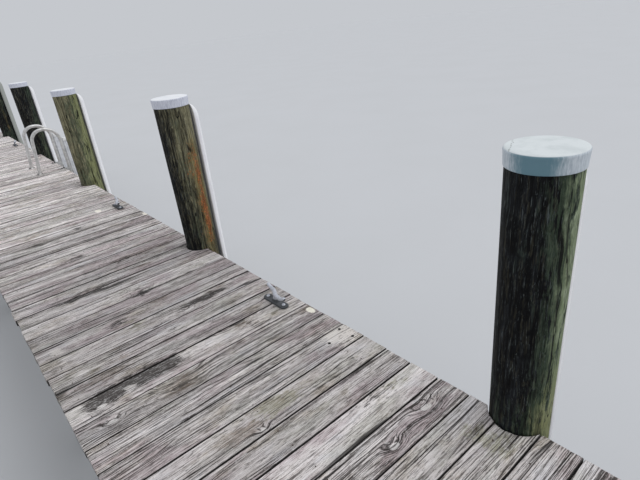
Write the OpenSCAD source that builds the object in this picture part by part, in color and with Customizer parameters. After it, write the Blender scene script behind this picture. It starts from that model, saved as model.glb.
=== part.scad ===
// A wooden jetty that runs along a bank: bays of deck boards on stringers and
// paired cross beams, tall capped piles with bumper strips on the water side,
// short piles on the land side, mooring cleats and an aluminium boarding ladder.
// X runs along the jetty, -Y is the water side and Z is up. The origin is the
// middle of the footprint at the waterline, where the piles are cut off.

/* [Deck] */
// Number of bays
bays = 6; // [4:1:8]
// Length of a bay, from pile to pile
bay_len = 2438.4; // [1800:0.1:3000]
// Deck boards in a bay
boards_per_bay = 17; // [12:1:22]
// Whole boards past the board over each end pile
end_boards = 1; // [1:1:3]
// Width of the deck, from the water edge to the land edge
deck_w = 1216; // [1000:1:1800]
// Thickness of the deck boards
deck_t = 38; // [25:1:50]
// Height of the deck's top above the water
deck_h = 1070; // [900:5:1500]

/* [Piles] */
// Radius of a pile at the waterline
pile_foot_r = 102; // [90:1:125]
// Growth of a pile's radius for each metre of height
pile_taper = 3.4; // [0.5:0.1:6]
// Height of the water piles above the deck
pile_above = 990; // [700:5:1300]
// Distance from the water edge out to the line of the water piles
pile_out = 35; // [10:1:60]
// Distance that a pile stands past the middle of its board
pile_shift = 34; // [-50:1:50]
// Distance from the land edge in to the line of the land piles
land_pile_in = 166; // [150:1:300]
// Gap between the deck boards and a pile
notch_gap = 5; // [2:1:15]
// Depth of the flats that the cross beams bear on
flat_depth = 5; // [2:1:12]

/* [Pile caps] */
// Height of a cap's skirt
cap_skirt = 52; // [30:1:80]
// Thickness of a cap's top
cap_top = 4; // [2:1:8]
// Thickness of a cap's skirt
cap_wall = 3; // [2:0.5:6]
// Growth of a cap's radius from the skirt's hem to its top
cap_flare = 3; // [0:0.5:6]
// Gap between a cap's skirt and the pile
cap_fit = 0.4; // [0.2:0.1:1]

/* [Bumper strips] */
// Width of a strip's round-faced part
strip_w = 130; // [80:1:140]
// Depth of a strip's round-faced part
strip_d = 50; // [30:1:60]
// Radius of a strip's round face
strip_face_r = 78; // [72:1:110]
// Width of the narrow back that holds a strip off the pile
strip_back_w = 66; // [40:1:76]
// Distance that a strip's back holds it off the pile
strip_back_d = 8; // [5:1:25]
// Length of a strip
strip_len = 1829; // [1200:1:1900]
// Height over which a strip's upper end tapers in
strip_nose = 85; // [40:5:140]
// Gap below the cap's skirt
strip_drop = 6; // [2:1:30]

/* [Timber frame] */
// Thickness of the cross beams
beam_t = 38; // [30:1:60]
// Height of the cross beams
beam_h = 184; // [120:1:240]
// Distance that the cross beams reach past the water edge
beam_out = 110; // [80:1:150]
// Distance that the cross beams stop short of the land edge
beam_in = 20; // [0:5:60]
// Thickness of the stringers
stringer_t = 38; // [30:1:60]
// Height of the stringers
stringer_h = 184; // [120:1:240]
// Distance from the water edge to the outer stringer's face
stringer_out = 120; // [115:1:200]
// Distance from the land edge to the inner stringer's face
stringer_in = 60; // [30:1:120]
// Distance that the stringers stop short of the deck's ends
stringer_end = 20; // [0:5:60]

/* [Cleats] */
// Length of a cleat's base
cleat_len = 196; // [150:1:260]
// Width of a cleat's base
cleat_w = 50; // [36:1:70]
// Thickness of a cleat's base
cleat_t = 9; // [5:1:14]
// Height of the horns' bar above the base
cleat_rise = 40; // [30:1:70]
// Length of the straight part of the horns' bar
cleat_bar = 110; // [80:1:160]
// Radius of the horns' bar
cleat_bar_r = 10; // [7:1:14]
// Radius that the horns turn up on
cleat_bend_r = 90; // [60:5:140]
// Angle that the horns turn up through
cleat_bend = 34; // [15:1:50]
// Angle between the horns' bar and the base, seen from above
cleat_swing = 12; // [0:1:15]
// Distance between a cleat's bolts
cleat_bolts = 142; // [110:1:160]
// Radius of a cleat's bolt head
cleat_head_r = 15; // [10:1:20]
// Radius of the round top of a cleat's bolt head
cleat_head_top_r = 9; // [5:1:12]
// Height of a cleat's bolt head
cleat_head_h = 7.5; // [4:0.5:10]
// Radius of a cleat's stem at the base
cleat_stem_r = 23; // [15:1:32]
// Distance from the water edge to a cleat's middle
cleat_in = 105; // [70:1:250]

/* [Ladder] */
// Bay that holds the ladder, counted from 0
ladder_bay = 3; // [1:1:3]
// Distance from the middle of the bay to the ladder's middle
ladder_shift = 83; // [-300:1:300]
// Distance between the ladder's sides, middle to middle
ladder_w = 448; // [350:1:600]
// Radius of the handrail tube
rail_r = 19; // [14:0.5:26]
// Height of the handrails above the deck, to the tube's middle
rail_h = 503; // [450:1:900]
// Distance from the water edge in to the handrails' highest point
rail_top_in = 125; // [100:1:180]
// Radius of the handrail's bend over the deck
rail_in_r = 126; // [80:1:150]
// Radius of the handrail's bend over the edge
rail_out_r = 165; // [140:1:190]
// Length of the straight part between the handrail's bends
rail_flat = 12; // [8:1:60]
// Lean of the handrail's inner leg
rail_lean = 5.5; // [0:0.5:12]
// Distance that the handrail's outer leg reaches below the deck
rail_down = 620; // [400:10:800]
// Side of the handrail's foot plate
foot_side = 64; // [50:1:90]
// Thickness of plates and brackets
plate_t = 6; // [4:1:10]
// Gap between the handrail's tube and a stile
stile_gap = 1; // [0.5:0.5:5]
// Width of a stile, seen from its side
stile_w = 65; // [50:1:90]
// Thickness of a stile
stile_t = 30; // [20:1:40]
// Height of a stile above the deck, without its end cap
stile_up = 325; // [200:5:450]
// Height of a stile's end cap
stile_cap_h = 40; // [20:1:60]
// Depth of the grooves along a stile
groove_d = 3; // [1:0.5:5]
// Width of the grooves along a stile
groove_w = 6; // [3:1:10]
// Number of treads
treads = 4; // [3:1:5]
// Distance from tread to tread
tread_step = 275; // [220:5:300]
// Distance from the deck's top down to the first tread
tread_drop = 95; // [60:5:140]
// Depth of a tread, front to back
tread_d = 80; // [60:1:110]
// Thickness of a tread
tread_t = 32; // [20:1:45]
// Width of the brackets
bracket_w = 46; // [42:1:70]
// Height of the lower brackets
bracket_h = 44; // [30:1:60]
// Distance from the deck's top down to the lower brackets
bracket_drop = 150; // [100:5:200]
// Length of the brackets' plate on the deck
bracket_plate = 60; // [40:1:100]
// Gap round the tube in a bracket
tube_fit = 0.3; // [0.1:0.1:0.6]

/* [Hidden] */
$fn = 64;
// How far each water pile stands out of line: along, inward and upward
pile_dx = [0, 0, -50, 15, -5, 0, 0];
pile_dy = [0, -10, 25, 35, 0, 0, 0];
pile_dz = [0, 5, 30, -10, -15, 0, 0];
// How far each strip is turned round its pile, from -Y towards -X
strip_turn = [0, 5, 0, 0, 0, 17, 0];
// How far each bay's cleat lies from the middle of its bay
cleat_dx = [140, 140, 165, 0, -40, 140];
pile_wood = "#3d3a2e";
board_wood = "#a59d95";
frame_wood = "#8b7d68";
cap_white = "#dfe5e8";
strip_white = "#eceef2";
zinc = "#9aa0a4";
alloy = "#c4c7ca";
white_plastic = "#eef0f2";
pitch = bay_len / boards_per_bay;
deck_len = bays * bay_len + (1 + 2 * end_boards) * pitch;
taper = pile_taper / 1000;
tilt = atan(taper);
stringer_top = deck_h - deck_t;
beam_top = stringer_top - stringer_h;
flat_half = pile_foot_r - flat_depth;
nose_steps = 8;
bend_steps = 12;
tube_sides = 24;
strip_sides = 96;
// How far one shape runs on into the next, or a cut past what it cuts
lap = 1;
// One more than the last pile's number
piles = bays + 1;
// The strip's depth from the pile to its outermost point
strip_reach = strip_back_d + strip_d;
// Outermost reach of each strip past the water edge, and so of the whole jetty
strip_foot = [for (i = [0:bays]) pile_top(i) - cap_skirt - strip_drop - strip_len];
reach = [for (i = [0:bays])
    let (
        rise = (strip_foot[i] + strip_len - strip_nose) * sin(tilt) / cos(tilt),
        out = pile_foot_r + rise + strip_reach / cos(tilt)
    )
    pile_out - drift(pile_dy, i) + out - (out - strip_face_r) * (1 - cos(drift(strip_turn, i)))];
edge_y = (max(reach) - deck_w) / 2;
land_y = edge_y + deck_w;
rail_y = edge_y + rail_top_in - rail_flat / 2 - rail_out_r;
stile_y = rail_y - rail_r - stile_gap;
ladder_x = (ladder_bay + 0.5 - bays / 2) * bay_len + ladder_shift;
cleat_bays = [for (k = [0:bays - 1]) if (k != ladder_bay) k];

function drift(list, i) = i < len(list) ? list[i] : 0;
function pile_x(i) = (i - bays / 2) * bay_len + pile_shift + drift(pile_dx, i);
function pile_y(i) = edge_y - pile_out + drift(pile_dy, i);
function pile_top(i) = deck_h + pile_above + drift(pile_dz, i);
function radius_at(z) = pile_foot_r + z * taper;
function seam(k) = (k - bays / 2) * bay_len - pitch / 2;

// A round log from the waterline up, with a flat on each side for the cross beams
module log(h) {
    difference() {
        cylinder(h = h, r1 = pile_foot_r, r2 = radius_at(h));
        for (s = [-1, 1])
            translate([s * (flat_half + beam_t / 2), 0, beam_top - beam_h / 2])
                cube([beam_t, 3 * pile_foot_r, beam_h], center = true);
    }
}

module water_pile(i) {
    color(pile_wood)
        translate([pile_x(i), pile_y(i), 0])
            log(pile_top(i));
}

module land_piles() {
    color(pile_wood)
        for (i = [0:bays])
            translate([pile_x(i), land_y - land_pile_in, 0])
                log(beam_top);
}

// A flat lid whose skirt slips over the pile's head
module pile_cap(i) {
    inner = radius_at(pile_top(i)) + cap_fit;
    color(cap_white)
        translate([pile_x(i), pile_y(i), pile_top(i) - cap_skirt])
            difference() {
                cylinder(h = cap_skirt + cap_top, r1 = inner + cap_wall, r2 = inner + cap_wall + cap_flare);
                translate([0, 0, -lap])
                    cylinder(h = cap_skirt + lap, r = inner);
            }
}

// Plan of a strip, with the pile's surface at y = 0 and the round face towards -Y
module strip_plan() {
    translate([-strip_back_w / 2, -strip_back_d - lap])
        square([strip_back_w, strip_back_d + lap + flat_depth]);
    intersection() {
        translate([-strip_w / 2, -strip_reach])
            square([strip_w, strip_d]);
        translate([0, strip_face_r - strip_reach])
            circle(r = strip_face_r, $fn = strip_sides);
    }
}

// Side outline of a strip: straight, then a quarter ellipse in to the pile
module strip_side() {
    polygon(concat(
        [[flat_depth, 0], [-strip_reach, 0]],
        [for (k = [0:nose_steps]) let (a = 90 * k / nose_steps)
            [-strip_reach * cos(a), strip_len - strip_nose * (1 - sin(a))]],
        [[flat_depth, strip_len]]
    ));
}

module bumper_strip(i) {
    color(strip_white)
        translate([pile_x(i), pile_y(i), 0])
            rotate([0, 0, -drift(strip_turn, i)]) difference() {
                translate([0, -pile_foot_r, 0])
                    rotate([tilt, 0, 0])
                        translate([0, 0, strip_foot[i]])
                            intersection() {
                                linear_extrude(strip_len)
                                    strip_plan();
                                rotate([90, 0, 90])
                                    linear_extrude(2 * strip_w, center = true)
                                        strip_side();
                            }
                cylinder(h = pile_top(i), r1 = pile_foot_r, r2 = radius_at(pile_top(i)));
            }
}

// Two planks, one on each side of a water pile and its land pile
module cross_beams(i) {
    color(frame_wood)
        for (s = [-1, 1])
            translate([pile_x(i) + s * (flat_half + beam_t / 2), 0, beam_top - beam_h / 2])
                translate([0, (edge_y - beam_out + land_y - beam_in) / 2, 0])
                    cube([beam_t, deck_w + beam_out - beam_in, beam_h], center = true);
}

// A plank on edge along the whole jetty
module stringer(y) {
    color(frame_wood)
        translate([-deck_len / 2 + stringer_end, y, beam_top])
            cube([deck_len - 2 * stringer_end, stringer_t, stringer_h]);
}

module outer_stringer() {
    stringer(edge_y + stringer_out);
}

module middle_stringer() {
    stringer((edge_y + stringer_out + land_y - stringer_in - stringer_t) / 2);
}

module inner_stringer() {
    stringer(land_y - stringer_in - stringer_t);
}

// One bay's boards, laid side by side across the jetty and cut round the piles
module deck_bay(k) {
    from = k == 0 ? -deck_len / 2 : seam(k);
    to = k == bays - 1 ? deck_len / 2 : seam(k + 1);
    color(board_wood)
        difference() {
            translate([from, edge_y, stringer_top])
                cube([to - from, deck_w, deck_t]);
            for (i = [k:k + 1])
                translate([pile_x(i), pile_y(i), 0])
                    cylinder(h = 2 * deck_h, r = radius_at(deck_h) + notch_gap);
        }
}

// A long base with round ends, two bolt heads, a stem and a bar with upturned horns
module cleat() {
    bar_z = cleat_t + cleat_rise;
    half = cleat_len / 2 - cleat_w / 2;
    linear_extrude(cleat_t) {
        square([2 * half, cleat_w], center = true);
        for (s = [-1, 1])
            translate([s * half, 0])
                circle(d = cleat_w);
    }
    for (s = [-1, 1])
        translate([s * cleat_bolts / 2, 0, cleat_t])
            cylinder(h = cleat_head_h, r1 = cleat_head_r, r2 = cleat_head_top_r);
    cylinder(h = bar_z, r1 = cleat_stem_r, r2 = cleat_bar_r);
    rotate([0, 0, -cleat_swing]) {
        translate([0, 0, bar_z])
            rotate([0, 90, 0])
                cylinder(h = cleat_bar, r = cleat_bar_r, center = true);
        for (s = [0, 1])
            mirror([s, 0, 0])
                translate([cleat_bar / 2, 0, bar_z + cleat_bend_r])
                    rotate([90, 0, 0])
                        rotate([0, 0, -90]) {
                            rotate_extrude(angle = cleat_bend)
                                translate([cleat_bend_r, 0])
                                    circle(r = cleat_bar_r);
                            rotate([0, 0, cleat_bend])
                                translate([cleat_bend_r, 0, 0])
                                    sphere(r = cleat_bar_r);
                        }
    }
}

module mooring_cleats() {
    color(zinc)
        for (k = cleat_bays)
            translate([(k + 0.5 - bays / 2) * bay_len + drift(cleat_dx, k), edge_y + cleat_in, deck_h])
                cleat();
}

// Stations of a handrail in its own plane, as [inward, up, heading]: the foot, the
// bend over the deck, the bend over the edge and the lower end
function rail_stations() =
    let (
        leg_y = rail_flat / 2 + rail_in_r * cos(rail_lean),
        leg_z = rail_h - rail_in_r + rail_in_r * sin(rail_lean)
    )
    concat(
        [[leg_y + (leg_z - plate_t / 2) * tan(rail_lean), plate_t / 2, 90 + rail_lean]],
        [for (k = [0:bend_steps]) let (a = rail_lean + (90 - rail_lean) * k / bend_steps)
            [rail_flat / 2 + rail_in_r * cos(a), rail_h - rail_in_r + rail_in_r * sin(a), 90 + a]],
        [for (k = [0:bend_steps]) let (a = 90 + 90 * k / bend_steps)
            [-rail_flat / 2 + rail_out_r * cos(a), rail_h - rail_out_r + rail_out_r * sin(a), 90 + a]],
        [[-rail_flat / 2 - rail_out_r, -rail_down, 270]]
    );

// A round tube through stations that lie in the YZ plane
module tube(stations, r) {
    last = len(stations) - 1;
    points = [for (p = stations) for (k = [0:tube_sides - 1]) let (a = 360 * k / tube_sides)
        [r * cos(a), p[0] - r * sin(a) * sin(p[2]), p[1] + r * sin(a) * cos(p[2])]];
    sides = [for (n = [0:last - 1]) for (k = [0:tube_sides - 1]) let (next = (k + 1) % tube_sides)
        [n * tube_sides + k, n * tube_sides + next, (n + 1) * tube_sides + next, (n + 1) * tube_sides + k]];
    first_end = [for (k = [tube_sides - 1:-1:0]) k];
    last_end = [for (k = [0:tube_sides - 1]) last * tube_sides + k];
    polyhedron(points, concat(sides, [first_end, last_end]));
}

// A tube from its foot plate on the deck, over in two bends and down past the edge
module ladder_rail(s) {
    foot = rail_stations()[0];
    color(alloy)
        translate([ladder_x + s * ladder_w / 2, edge_y + rail_top_in, deck_h]) {
            translate([-foot_side / 2, foot[0] - foot_side / 2, 0])
                cube([foot_side, foot_side, plate_t]);
            tube(rail_stations(), rail_r);
        }
}

// Plan of a stile: a bar with two grooves along each broad side
module stile_plan() {
    difference() {
        translate([-stile_t / 2, -stile_w])
            square([stile_t, stile_w]);
        for (s = [-1, 1])
            for (part = [1, 2])
                translate([s * stile_t / 2, -stile_w * part / 3])
                    square([2 * groove_d, groove_w], center = true);
    }
}

module ladder_stiles() {
    color(alloy)
        for (s = [-1, 1])
            translate([ladder_x + s * ladder_w / 2, stile_y, 0])
                linear_extrude(deck_h + stile_up)
                    stile_plan();
}

module ladder_end_caps() {
    color(white_plastic)
        for (s = [-1, 1])
            translate([ladder_x + s * ladder_w / 2 - stile_t / 2, stile_y - stile_w, deck_h + stile_up])
                cube([stile_t, stile_w, stile_cap_h]);
}

module ladder_treads() {
    color(alloy)
        for (k = [0:treads - 1])
            translate([ladder_x - ladder_w / 2 + stile_t / 2, stile_y - tread_d,
                    deck_h - tread_drop - tread_t - k * tread_step])
                cube([ladder_w - stile_t, tread_d, tread_t]);
}

// A block between the stile and the board ends that holds the tube, under a plate
// that lies on the deck
module upper_bracket() {
    difference() {
        translate([-bracket_w / 2, stile_y, deck_h - deck_t])
            cube([bracket_w, edge_y - stile_y, deck_t + plate_t]);
        translate([0, rail_y, deck_h - 2 * deck_t])
            cylinder(h = 4 * deck_t, r = rail_r + tube_fit);
    }
    translate([-bracket_w / 2, edge_y, deck_h])
        cube([bracket_w, bracket_plate, plate_t]);
}

// A block on the stile that holds the tube, with an arm back to the outer stringer
module lower_bracket() {
    difference() {
        translate([-bracket_w / 2, stile_y, deck_h - bracket_drop - bracket_h])
            cube([bracket_w, edge_y - stile_y, bracket_h]);
        translate([0, rail_y, deck_h - bracket_drop - 2 * bracket_h])
            cylinder(h = 3 * bracket_h, r = rail_r + tube_fit);
    }
    translate([-bracket_w / 2, edge_y, deck_h - bracket_drop - plate_t])
        cube([bracket_w, stringer_out, plate_t]);
    translate([-bracket_w / 2, edge_y + stringer_out - plate_t, deck_h - bracket_drop - bracket_h])
        cube([bracket_w, plate_t, bracket_h]);
}

module ladder_brackets() {
    color(alloy)
        for (s = [-1, 1])
            translate([ladder_x + s * ladder_w / 2, 0, 0]) {
                upper_bracket();
                lower_bracket();
            }
}

for (i = [0:bays]) {
    water_pile(i);
    pile_cap(i);
    bumper_strip(i);
    cross_beams(i);
}
for (k = [0:bays - 1])
    deck_bay(k);
outer_stringer();
middle_stringer();
inner_stringer();
land_piles();
mooring_cleats();
ladder_rail(-1);  // ladder_rail_near
ladder_rail(1);  // ladder_rail_far
ladder_stiles();
ladder_end_caps();
ladder_treads();
ladder_brackets();
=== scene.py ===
# A wooden jetty: weathered boards laid across, tall capped piles with bumper strips
# along the water side, short piles on the land side, cleats and a boarding ladder.
# X runs along the jetty, -Y is the water side and Z is up, in metres.
from math import atan, cos, hypot, radians, sin, tan

import bpy
import numpy as np
from mathutils import Matrix, Vector


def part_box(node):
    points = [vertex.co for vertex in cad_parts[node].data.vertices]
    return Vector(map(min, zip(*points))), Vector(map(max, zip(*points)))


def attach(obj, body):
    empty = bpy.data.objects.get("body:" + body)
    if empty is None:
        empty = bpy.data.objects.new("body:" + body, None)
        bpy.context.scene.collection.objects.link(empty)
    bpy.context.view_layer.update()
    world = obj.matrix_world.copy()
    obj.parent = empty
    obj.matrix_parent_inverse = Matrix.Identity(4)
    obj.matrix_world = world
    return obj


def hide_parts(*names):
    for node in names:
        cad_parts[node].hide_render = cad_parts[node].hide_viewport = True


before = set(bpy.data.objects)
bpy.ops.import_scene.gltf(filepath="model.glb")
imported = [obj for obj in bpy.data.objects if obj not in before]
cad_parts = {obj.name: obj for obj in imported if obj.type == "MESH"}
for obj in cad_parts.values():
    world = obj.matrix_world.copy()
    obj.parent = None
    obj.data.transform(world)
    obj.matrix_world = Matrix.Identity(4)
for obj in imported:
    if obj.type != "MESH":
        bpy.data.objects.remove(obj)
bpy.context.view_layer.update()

BAYS = 6
BAY_LENGTH = 2.4384
BOARDS_A_BAY = 17
BOARDS = range(-52, 53)  # counted from the middle one
PITCH = BAY_LENGTH / BOARDS_A_BAY
BOARD_WIDTH = 0.1406
DECK_TOP = 1.070
DECK_THICK = 0.038
PLANK_HEIGHT = 0.184
PLANK_THICK = 0.038
PILE_FOOT = 0.102  # a pile's radius at the waterline
PILE_TAPER = 0.0034  # what it gains with each metre of height
PILE_FLAT = 0.097  # from its middle to the cheeks that the beams bear on
NOTCH_GAP = 0.005
STRINGER_TOP = DECK_TOP - DECK_THICK
BEAM_TOP = STRINGER_TOP - PLANK_HEIGHT
BEAM_LOW = BEAM_TOP - PLANK_HEIGHT


def box(node):
    """Lowest and highest corner of a solid, as arrays."""
    low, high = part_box(node)
    return np.array(low), np.array(high)


def centre(node):
    """The middle of a solid's box."""
    low, high = box(node)
    return (low + high) / 2


WATER_EDGE, LAND_EDGE = (corner[1] for corner in box("deck_bay_1"))
PILES = [centre(f"water_pile_{k + 1}")[:2] for k in range(BAYS + 1)]
PILE_TOPS = [box(f"water_pile_{k + 1}")[1][2] for k in range(BAYS + 1)]
LAND_PILES_Y = centre("land_piles")[1]


# ---- numbers and shapes ----


def waver(x, y, seed, around=61):
    """Smooth noise from -1 to 1: random values on a lattice of whole numbers, blended
    along x and then y by 3f^2 - 2f^3. It repeats after `around` cells in x."""
    table = np.random.default_rng(seed).uniform(-1, 1, (around, 67))
    x, y = np.broadcast_arrays(np.asarray(x, float), np.asarray(y, float))
    i, j = np.floor(x).astype(int), np.floor(y).astype(int)
    f, g = x - i, y - j
    f, g = f * f * (3 - 2 * f), g * g * (3 - 2 * g)
    row = [table[(i + a) % around, (j + b) % 67] for b in (0, 1) for a in (0, 1)]
    return (row[0] * (1 - f) + row[1] * f) * (1 - g) + (row[2] * (1 - f) + row[3] * f) * g


def round_waver(turn, cells, y, seed):
    """The same noise round a circle, where it closes on itself after so many cells."""
    return waver(turn * cells / (2 * np.pi), y, seed, cells)


def hill(distance, width):
    """A bell: e to the minus square of distance over width."""
    return np.exp(-((distance / width) ** 2))


def off_angle(degrees, middle):
    """How many degrees an angle lies past another, from -180 to 180."""
    return (degrees - middle + 180) % 360 - 180


def tube_faces(rows, sides):
    """Faces of points[row, side]: a quad between neighbours, and one face on each end."""
    a = np.arange(rows * sides).reshape(rows, sides)
    b = np.roll(a, -1, axis=1)
    quads = np.stack([a[:-1], b[:-1], b[1:], a[1:]], -1).reshape(-1, 4)
    return [quads, a[:1, ::-1], a[-1:]]


def folded_faces(rows, sides):
    """As tube_faces, but each end is closed by quads from every point of the outline's
    first half to the one across from it, so that an end may be curved in plan."""
    quads = tube_faces(rows, sides)[0]
    k = np.arange(sides // 2 - 1)
    end = np.stack([k, sides - 1 - k, sides - 2 - k, k + 1], -1)
    return [quads, end, end[:, ::-1] + (rows - 1) * sides]


def outward(points, faces):
    """The faces, all turned over if the volume inside, a sum of the triple products of
    their corners, comes out negative."""
    volume = 0.0
    for f in faces:
        for k in range(1, f.shape[1] - 1):
            a, b, c = (points[f[:, n]] for n in (0, k, k + 1))
            volume += float(np.sum(a * np.cross(b, c)))
    return faces if volume > 0 else [f[:, ::-1] for f in faces]


class Shape:
    """The points and faces of one piece, gathered from grids, with values at its points."""

    def __init__(self):
        self.points, self.faces, self.values, self.count = [], [], {}, 0

    def add(self, grid, faces=None, **values):
        """Adds a closed grid of points[row, side]. Each value is one number, or a number
        or a vector for every point."""
        rows, sides = grid.shape[:2]
        points = grid.reshape(-1, 3)
        for face in outward(points, faces or tube_faces(rows, sides)):
            self.faces.append(face + self.count)
        for name, value in values.items():
            value = np.asarray(value, float)
            wide = value.shape[-1:] == (3,) and value.ndim in (1, 3)
            full = np.broadcast_to(value, (rows, sides, 3) if wide else (rows, sides))
            full = full.reshape(-1, 3) if wide else full.ravel()
            self.values.setdefault(name, []).append(full)
        self.points.append(points)
        self.count += len(points)

    def stamp(self, grid, places):
        """Adds one small closed grid again at every place."""
        points = grid.reshape(-1, 3)
        starts = self.count + np.arange(len(places)) * len(points)
        self.points.append((np.asarray(places)[:, None] + points).reshape(-1, 3))
        for face in outward(points, tube_faces(*grid.shape[:2])):
            self.faces.append((starts[:, None, None] + face).reshape(-1, face.shape[1]))
        self.count += len(places) * len(points)

    def build(self, name, finish, slot, *replaces, sharp=38):
        """Makes the piece, shaded smooth but for edges sharper than `sharp` degrees."""
        points = np.concatenate(self.points)
        corners = np.concatenate([f.ravel() for f in self.faces])
        sizes = np.concatenate([np.full(len(f), f.shape[1]) for f in self.faces])
        starts = np.concatenate([[0], np.cumsum(sizes)[:-1]])
        mesh = bpy.data.meshes.new(name)
        mesh.vertices.add(len(points))
        mesh.vertices.foreach_set("co", points.astype(np.float32).ravel())
        mesh.loops.add(len(corners))
        mesh.loops.foreach_set("vertex_index", corners.astype(np.int32))
        mesh.polygons.add(len(sizes))
        mesh.polygons.foreach_set("loop_start", starts.astype(np.int32))
        mesh.polygons.foreach_set("use_smooth", np.ones(len(sizes), bool))
        for value_name, parts in self.values.items():
            full = np.concatenate(parts)
            kind, field = ("FLOAT_VECTOR", "vector") if full.ndim == 2 else ("FLOAT", "value")
            kept = mesh.attributes.new(value_name, kind, "POINT")
            kept.data.foreach_set(field, full.astype(np.float32).ravel())
        mesh.update(calc_edges=True)
        mesh.validate()
        mesh.set_sharp_from_angle(angle=radians(sharp))
        mesh.materials.append(finish)
        piece = bpy.data.objects.new(name, mesh)
        bpy.context.scene.collection.objects.link(piece)
        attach(piece, "root")
        if replaces:
            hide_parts(*replaces)


def swept(path, outline, side, size=1.0):
    """Points[row, side]: an outline (across, up) set square on a path. Across lies along
    `side`, one vector or one for each row, up is side x heading, and `size` scales the
    outline at each row."""
    path = np.asarray(path, float)
    side = np.broadcast_to(np.asarray(side, float), path.shape)
    heading = np.gradient(path, axis=0)
    heading /= np.linalg.norm(heading, axis=1)[:, None]
    up = np.cross(side, heading)
    size = np.broadcast_to(np.reshape(size, (-1, 1, 1)), (len(path), 1, 1))
    return (path[:, None] + size * outline[None, :, :1] * side[:, None]
            + size * outline[None, :, 1:] * up[:, None])


def angles(sides):
    """So many equal steps round a circle, in radians."""
    return np.arange(sides) * 2 * np.pi / sides


def circle(radius, sides):
    """A circle's outline."""
    turn = angles(sides)
    return radius * np.stack([np.cos(turn), np.sin(turn)], -1)


def mm(*pairs):
    """Pairs of millimetres, as an array in metres."""
    return np.array(pairs) / 1000


def stacked(rows):
    """Points[row, side]: flat outlines, each laid at its own height."""
    return np.stack([np.column_stack([outline, np.full(len(outline), height)])
                     for height, outline in rows])


def turned(outline, sides, middle=(0, 0, 0)):
    """Points[row, side]: an outline (radius, height) turned about an upright axis."""
    return stacked((height, circle(radius, sides)) for radius, height in outline) + middle


def along_x(grid):
    """A stacked grid tipped over, so that its heights lie along X."""
    return grid[..., [2, 0, 1]]


def rounded(width, height, radius, steps=4):
    """A rectangle's outline whose corners are quarter circles of the given radius."""
    quarter = np.linspace(0, np.pi / 2, steps + 1)
    parts = []
    for k, (a, b) in enumerate(((1, 1), (-1, 1), (-1, -1), (1, -1))):
        turn = quarter + k * np.pi / 2
        parts.append(np.stack([a * (width / 2 - radius) + radius * np.cos(turn),
                               b * (height / 2 - radius) + radius * np.sin(turn)], -1))
    return np.concatenate(parts)


# ---- finishes ----


def shade(code):
    """A colour written as six hex digits, as the linear values that a socket takes."""
    parts = [int(code[k:k + 2], 16) / 255 for k in (0, 2, 4)]
    return [p / 12.92 if p <= 0.04045 else ((p + 0.055) / 1.055) ** 2.4 for p in parts] + [1.0]


def varied(value, *noises):
    """The value plus what each noise differs from its middle, times its weight."""
    for noise, weight in noises:
        value = value + (noise - 0.5) * weight
    return value


class Number:
    """A value among the nodes. Arithmetic on it adds Math nodes."""

    def __init__(self, nodes, plug):
        self.nodes, self.plug = nodes, plug

    def math(self, operation, first, second):
        return self.nodes.node("ShaderNodeMath", {"operation": operation}, {0: first, 1: second})

    def __add__(self, other):
        return self.math("ADD", self, other)

    def __sub__(self, other):
        return self.math("SUBTRACT", self, other)

    def __rsub__(self, other):
        return self.math("SUBTRACT", other, self)

    def __mul__(self, other):
        return self.math("MULTIPLY", self, other)

    __radd__, __rmul__ = __add__, __mul__

    def __abs__(self):
        return self.math("ABSOLUTE", self, 0.0)

    def most(self, other):
        return self.math("MAXIMUM", self, other)

    def least(self, other):
        return self.math("MINIMUM", self, other)

    def wave(self):
        return self.math("SINE", self, 0.0)


class Nodes:
    """The nodes of a material or a world, with one method that adds any node."""

    def __init__(self, owner):
        owner.use_nodes = True
        self.tree = owner.node_tree
        self.tree.nodes.clear()

    def put(self, socket, value):
        """Links a Number, or sets a plain value or a colour's hex digits."""
        if isinstance(value, Number):
            self.tree.links.new(value.plug, socket)
        else:
            socket.default_value = shade(value) if isinstance(value, str) else value

    def add(self, kind, settings=None, sockets=None):
        """Adds a node: its settings first, then its sockets' values or links."""
        made = self.tree.nodes.new(kind)
        for name, value in (settings or {}).items():
            setattr(made, name, value)
        for socket, value in (sockets or {}).items():
            self.put(made.inputs[socket], value)
        return made

    def node(self, kind, settings=None, sockets=None, out=0):
        """Adds a node and gives one of its outputs as a Number."""
        return Number(self, self.add(kind, settings, sockets).outputs[out])


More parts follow.
